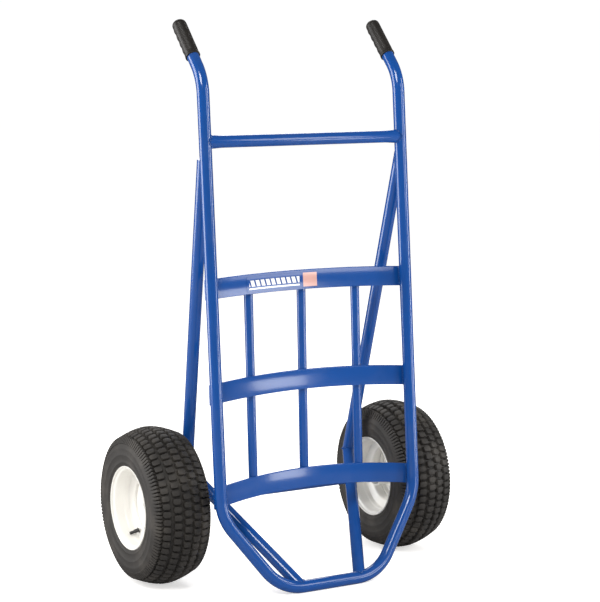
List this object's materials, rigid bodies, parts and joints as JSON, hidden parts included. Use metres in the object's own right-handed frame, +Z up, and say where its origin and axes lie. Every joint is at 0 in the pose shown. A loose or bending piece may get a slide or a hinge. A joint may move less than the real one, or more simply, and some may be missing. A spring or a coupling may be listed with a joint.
{
  "type": "hand truck",
  "caption": "Nursery ball cart with a bent blue tube frame, bowed steel bands, braces to an axle and wide turf tyres on dished rims.",
  "frame": {"origin": "on the floor, under the middle of the truck's box", "axes": "+X to the truck's right seen from the load side, +Y to the rear (handle and wheel side), +Z up; the load rests against the -Y side"},
  "size_m": [0.8932, 0.503, 1.4589],
  "materials": {
    "frame_paint": "glossy blue powder coat over welded steel tube and band",
    "rim_paint": "off-white semi-gloss enamel on pressed steel",
    "tyre_rubber": "warm black moulded rubber, dull, with a turf tread",
    "grip_rubber": "dark satin rubber with finger grooves",
    "valve_rubber": "black satin rubber",
    "cap_plastic": "black moulded plastic",
    "bare_steel": "zinc-plated steel",
    "label_film": null
  },
  "bodies": {
    "frame": {"main_frame_tube": "frame_paint", "upper_cross_tube": "frame_paint", "top_band": "frame_paint", "middle_band": "frame_paint", "bottom_band": "frame_paint", "top_band_label": "label_film", "left_upright_bar": "frame_paint", "centre_upright_bar": "frame_paint", "right_upright_bar": "frame_paint", "left_upper_brace": "frame_paint", "right_upper_brace": "frame_paint", "left_lower_brace": "frame_paint", "right_lower_brace": "frame_paint", "left_grip": "grip_rubber", "right_grip": "grip_rubber", "axle": "frame_paint", "left_axle_collar": "bare_steel", "left_hub_washer": "bare_steel", "left_cotter_pin": "bare_steel", "right_axle_collar": "bare_steel", "right_hub_washer": "bare_steel", "right_cotter_pin": "bare_steel"},
    "left_wheel": {"left_tyre": "tyre_rubber", "left_rim_barrel": "rim_paint", "left_wheel_disc": "rim_paint", "left_hub": "rim_paint", "left_outer_bearing": "bare_steel", "left_inner_bearing": "bare_steel", "left_valve_stem": "valve_rubber", "left_valve_cap": "cap_plastic"},
    "right_wheel": {"right_tyre": "tyre_rubber", "right_rim_barrel": "rim_paint", "right_wheel_disc": "rim_paint", "right_hub": "rim_paint", "right_outer_bearing": "bare_steel", "right_inner_bearing": "bare_steel", "right_valve_stem": "valve_rubber", "right_valve_cap": "cap_plastic"}
  },
  "joints": [
    {"name": "left_wheel_spin", "type": "hinge", "parent": "frame", "child": "left_wheel", "pos_m": [-0.3656, 0.04675, 0.205], "axis": [1, 0, 0], "continuous": true},
    {"name": "right_wheel_spin", "type": "hinge", "parent": "frame", "child": "right_wheel", "pos_m": [0.3656, 0.04675, 0.205], "axis": [1, 0, 0], "continuous": true}
  ]
}
